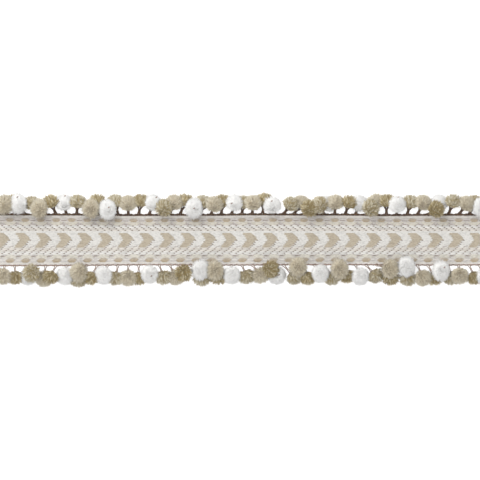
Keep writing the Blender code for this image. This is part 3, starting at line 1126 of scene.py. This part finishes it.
def yarn_end(bench):
    """One cut end, a pointed cone a unit wide and high, with its foot sunk into the core."""
    shape = {"Vertices": 3, "Radius Top": 0.0, "Radius Bottom": 1.0, "Depth": 1 + SUNK}
    cone = bench.get("GeometryNodeMeshCone", None, shape)
    sunk = {"Geometry": cone, "Translation": (0.0, 0.0, -SUNK)}
    moved = bench.get("GeometryNodeTransform", None, sunk)
    height = bench.parts(bench.get("GeometryNodeInputPosition"))[2]
    return stored(bench, moved, "tip", height.clamped())


def tuft_at(bench, place, size):
    """How deep in a cleft a place is, and its tuft's tint and middle."""
    cell = bench.add("ShaderNodeTexVoronoi", None, {"Vector": place, "Scale": 1 / size})
    away, tint, middle = (Quantity(bench, cell.outputs[key]) for key in ("Distance", "Color", "Position"))
    return (away * CLEFT_SPREAD).clamped() ** CLEFT_CURVE, tint, middle

# %% Tree that grows the pile
LENGTHS = ("Spacing", "Width", "Tuft size")
SHARES = ("Past reach", "Core share", "Uneven", "Gather", "Wander", "Cleft depth")
DENSEST = 3.0
OWN_SHADE = 0.35
DROOP = 0.8
NARROWEST = 0.75
WIDER = 0.5
LEAST_FALL = 0.01
MID_GREY = (0.5, 0.5, 0.5)
NO_TURN = (0.0, 0.0, 0.0)
FULL_TURN = (0.0, 0.0, 2 * math.pi)


def named(bench, name, kind="FLOAT"):
    """A value that the source mesh carries under a name."""
    return bench.get("GeometryNodeInputNamedAttribute", {"data_type": kind}, {"Name": name}, "Attribute")


def end_length(bench, given, place, cleft):
    """Length of an end before the surface stops it."""
    core_radius = bench.vector("SUBTRACT", place, named(bench, "centre", "FLOAT_VECTOR"))
    core_radius = bench.vector("LENGTH", core_radius, output="Value")
    whole = (1 - given["Uneven"] * random(bench, given["Seed"] + 1)) * (1 - given["Cleft depth"] * cleft)
    whole = whole * (1 + DROOP * named(bench, "throat"))
    return core_radius * (given["Past reach"] / given["Core share"] - 1) * whole


def end_direction(bench, given, place, tint, middle, length):
    """Away from the heart, drawn to the tuft's middle and astray as the whole tuft is."""
    heart = named(bench, "heart", "FLOAT_VECTOR")
    spoke = bench.vector("NORMALIZE", bench.vector("SUBTRACT", place, heart))
    gathered = bench.scaled(bench.vector("SUBTRACT", middle, place), given["Gather"] / length)
    strayed = bench.scaled(bench.vector("SUBTRACT", tint, MID_GREY), given["Wander"])
    return bench.vector("NORMALIZE", bench.vector("ADD", spoke, bench.vector("ADD", gathered, strayed)))


def pile_tree():
    bench, given = new_tree("cut_pile", (*LENGTHS, *SHARES))
    scatter = {"Mesh": given["Geometry"], "Distance Min": given["Spacing"], "Seed": given["Seed"]}
    scatter["Density Max"] = DENSEST / (given["Spacing"] * given["Spacing"])
    points = bench.get("GeometryNodeDistributePointsOnFaces", {"distribute_method": "POISSON"}, scatter)
    place = bench.get("GeometryNodeInputPosition")
    cleft, tint, middle = tuft_at(bench, place, given["Tuft size"])
    free = end_length(bench, given, place, cleft)
    direction = end_direction(bench, given, place, tint, middle, free)
    height, down = bench.parts(place)[2], 0 - bench.parts(direction)[2]
    length = free & (height / (down | LEAST_FALL))
    shade = (1 - OWN_SHADE) * bench.parts(tint)[0] + OWN_SHADE * random(bench, given["Seed"])
    spin = random(bench, given["Seed"] + 2, "FLOAT_VECTOR", NO_TURN, FULL_TURN)
    euler = bench.get("FunctionNodeEulerToRotation", None, {0: spin})
    aim = {"Rotation": euler, "Factor": 1.0, "Vector": direction}
    rotation = bench.get("FunctionNodeAlignRotationToVector", {"axis": "Z"}, aim)
    width = given["Width"] * (NARROWEST + WIDER * shade)
    size = bench.joined(width, width, length)
    inputs = {"Points": points, "Instance": yarn_end(bench), "Rotation": rotation, "Scale": size}
    ends = bench.get("GeometryNodeInstanceOnPoints", None, inputs)
    ends = stored(bench, ends, "shade", shade, domain="INSTANCE")
    ends = stored(bench, ends, "cleft", cleft, domain="INSTANCE")
    whole_pile = bench.get("GeometryNodeJoinGeometry", None, {"Geometry": [given["Geometry"], ends]})
    return close_tree(bench, given, whole_pile)


CUT_PILE = pile_tree()
print("pile tree nodes:", len(CUT_PILE.nodes))

# %% [markdown]
# The core is an icosphere for each pompom, drawn in to its colour's share of the pile's reach. Its
# corners carry the pompom's centre, from which lengths are measured, its heart, which lies nearer
# the root and from which the ends fan out, and the throat, which is how much a corner faces the
# stem.

# %% Cores
THROAT_SHARPNESS = 1.8
Pile = namedtuple("Pile", "core spacing width past uneven gather wander tuft_size cleft_depth low_heart")
PILES = {
    "white": Pile(0.70, 0.315, 0.36, 1.25, 0.25, 0.4, 0.5, 1.0, 0.10, 0.20),
    "marl": Pile(0.64, 0.285, 0.33, 1.32, 0.12, 0.8, 0.6, 1.1, 0.26, 0.34),
    "greige": Pile(0.67, 0.295, 0.32, 1.26, 0.10, 0.7, 0.5, 0.9, 0.26, 0.22),
    "khaki": Pile(0.62, 0.275, 0.31, 1.32, 0.12, 0.95, 0.5, 1.15, 0.30, 0.38),
}


def cores(side, colour):
    """Mesh of the cores of one side's pompoms of one colour."""
    bm = bmesh.new()
    centre = bm.verts.layers.float_vector.new("centre")
    heart = bm.verts.layers.float_vector.new("heart")
    throat = bm.verts.layers.float.new("throat")
    for pompom in (each for each in pompoms[side] if each.colour == colour):
        walls = walls_of[side, pompom.number]
        for vertex in bmesh.ops.create_icosphere(bm, subdivisions=2, radius=1.0)["verts"]:
            direction = vertex.co.normalized()
            vertex.co = pompom.centre + direction * reach(pompom, direction, walls) * PILES[colour].core
            vertex[centre] = pompom.centre
            vertex[heart] = pompom.centre.lerp(pompom.root, PILES[colour].low_heart)
            vertex[throat] = toward_root(pompom, direction) ** THROAT_SHARPNESS
    mesh = bpy.data.meshes.new("cores")
    bm.to_mesh(mesh)
    bm.free()
    return mesh

# %% [markdown]
# ## Finish of the pile
# The four colours differ in more than hue. White is nearly even, with pale clefts. Marl mixes cream
# and olive tufts. Greige has the smallest tufts, and is the most even of the tan ones. Khaki is
# the darkest, and parts into the deepest clefts. All are darker at the foot of the ends, where
# little light comes, and in the clefts between tufts: both are painted shade. Near the stem they
# turn brown, partly for the stem's yarn that shows there and partly as painted shade under the
# pompom.

# %% Pile material
Finish = namedtuple("Finish", "foot tip fleck flecks cleft throat")
THROAT_BROWN = linear(92, 74, 60)
THROAT_REACH = 1.3
TIP_REACH = 1.15
TIP_CURVE = 0.5
TONE_SIZE = 2.2 * MM
TONE_SPREAD = 0.15
FINISHES = {
    "white": Finish(linear(240, 239, 237), linear(248, 247, 245), linear(251, 251, 250), 0.3, 0.12, 0.3),
    "marl": Finish(linear(171, 156, 121), linear(254, 251, 236), linear(196, 180, 142), 0.32, 0.9, 0.8),
    "greige": Finish(linear(174, 161, 138), linear(247, 241, 223), linear(230, 220, 196), 0.4, 0.6, 0.6),
    "khaki": Finish(linear(157, 140, 101), linear(252, 243, 214), linear(190, 170, 124), 0.36, 0.9, 0.8),
}


def pile_material(colour):
    """Cut pile of one colour."""
    finish = FINISHES[colour]
    material, bench, shader = new_material(colour + "_pile")
    ends = mixed(bench, attribute(bench, "shade") > (1 - finish.flecks), finish.tip, finish.fleck)
    rise = (attribute(bench, "tip") * TIP_REACH).clamped() ** TIP_CURVE
    # Foot colour low on each end and in the clefts between tufts: painted shade.
    pile = mixed(bench, rise * (1 - finish.cleft * attribute(bench, "cleft")), finish.foot, ends)
    tone = 1 - TONE_SPREAD * patches(bench, TONE_SIZE, detail=2.0, low=0.3, gain=1.6)
    toned = mixed(bench, 1.0, pile, bench.joined(tone, tone, tone), "MULTIPLY")
    # Brown near the stem: partly the stem's yarn showing, partly painted shade under the pompom.
    throat = (attribute(bench, "throat") * THROAT_REACH).clamped() * finish.throat
    feed(bench, shader, "Base Color", mixed(bench, throat, toned, THROAT_BROWN))
    matt(shader, roughness=1.0, specular=0.1, sheen=0.2)
    return material

# %% Growing the pompoms
def grow(side, colour, seed):
    """One side's pompoms of one colour."""
    pile = PILES[colour]
    return run_tree(
        CUT_PILE,
        f"{SIDE_NAME[side]}_{colour}_pompoms",
        cores(side, colour),
        PILE_FINISH[colour],
        spacing=pile.spacing * MM,
        width=pile.width * MM,
        past_reach=pile.past,
        core_share=pile.core,
        uneven=pile.uneven,
        gather=pile.gather,
        wander=pile.wander,
        tuft_size=pile.tuft_size * MM,
        cleft_depth=pile.cleft_depth,
        seed=seed,
    )


PILE_FINISH = {colour: pile_material(colour) for colour in CYCLE}
SIDE_SEED = 10
balls = {}
for side in (1, -1):
    for step, colour in enumerate(CYCLE):
        balls[side, colour] = grow(side, colour, SEED + step + SIDE_SEED * side)

# %% [markdown]
# ## Ties
# A bundle is held by a short tie of brown thread. On some of the white pompoms its knot shows on
# the face. The places below are read from the picture, in millimetres, and each knot sits on the
# pompom that is nearest.

# %% Knots of the ties
KNOTS = {
    1: ((-175, 34), (-137, 35), (-102, 26), (-64, 34), (-34, 25), (-4, 29), (28, 31), (129, 34)),
    -1: ((-68, -29), (34, -28), (166, -22)),
}
KNOT_LONG = 1.3 * MM
KNOT_DEEP = 0.97
KNOT_ALONG = Vector((0.8, 0.6, 0.0))
KNOT_BULGE = 0.3 * MM
END_THIN = 0.8
MIDDLE_THICK = 1.2


def knot_line(side, x, y):
    """Short line on the pompom that is nearest to a place seen from above."""
    spot = Vector((x, y, 0)) * MM
    owner = min(pompoms[side], key=lambda pompom: (pompom.centre.xy - spot.xy).length)
    flat = spot.xy - owner.centre.xy
    high = math.sqrt(max(owner.radius**2 - flat.length_squared, 0.0))
    direction = Vector((*flat, high)).normalized()
    face = reach(owner, direction, walls_of[side, owner.number]) * KNOT_DEEP
    middle = owner.centre + direction * face
    run = KNOT_ALONG * KNOT_LONG / 2
    bulge = middle + direction * KNOT_BULGE
    return [(middle - run, END_THIN), (bulge, MIDDLE_THICK), (middle + run, END_THIN)]


ties = run_tree(
    TWISTED,
    "ties",
    lines_curve("ties", [knot_line(side, *spot) for side in (1, -1) for spot in KNOTS[side]]),
    BROWN[-1],
    plies=2,
    sides=6,
    ply_radius=0.28 * MM,
    wind_radius=0.2 * MM,
    turn_length=1.6 * MM,
    step=0.3 * MM,
)

# %% [markdown]
# ## Floor
# A plain surface, just under the back of the tape. It is grey but glows, so that it comes out as
# pure white while the trim's shadows on it stay faint, as in a product picture.

# %% Floor
FLOOR_SIZE = 6.0
FLOOR_AT = -0.2 * MM
FLOOR_GREY = 0.4
FLOOR_GLOW = 0.8

bpy.ops.mesh.primitive_plane_add(size=FLOOR_SIZE, location=(0, 0, FLOOR_AT))
floor = bpy.context.object
floor.name = "floor"
floor_material, _, floor_shader = new_material("white_floor")
floor_shader.inputs["Base Color"].default_value = (FLOOR_GREY, FLOOR_GREY, FLOOR_GREY, 1.0)
floor_shader.inputs["Emission Color"].default_value = (1.0, 1.0, 1.0, 1.0)
floor_shader.inputs["Emission Strength"].default_value = FLOOR_GLOW
matt(floor_shader, roughness=1.0, specular=0.0, sheen=0.0)
floor.data.materials.append(floor_material)
floor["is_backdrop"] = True

# %% [markdown]
# ## What each piece stands for
# Every piece moves with the one body, and the solid that it stands for is hidden.

# %% Riding and replacing
for piece in (cloth, *band_floats, *twill_floats):
    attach(piece, "root")
    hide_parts("woven_tape")
for side in (1, -1):
    fringe = "fringe_" + SIDE_NAME[side]
    for piece in (bindings[side], stems[side]):
        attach(piece, "root")
        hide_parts(fringe)
    for colour in CYCLE:
        piece = balls[side, colour]
        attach(piece, "root")
        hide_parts(fringe)
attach(ties, "root")
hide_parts("fringe_upper", "fringe_lower")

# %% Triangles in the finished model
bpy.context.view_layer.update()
shown = [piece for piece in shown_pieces() if piece.type == "MESH"]
print("triangles:", sum(len(face.vertices) - 2 for piece in shown for face in piece.data.polygons))
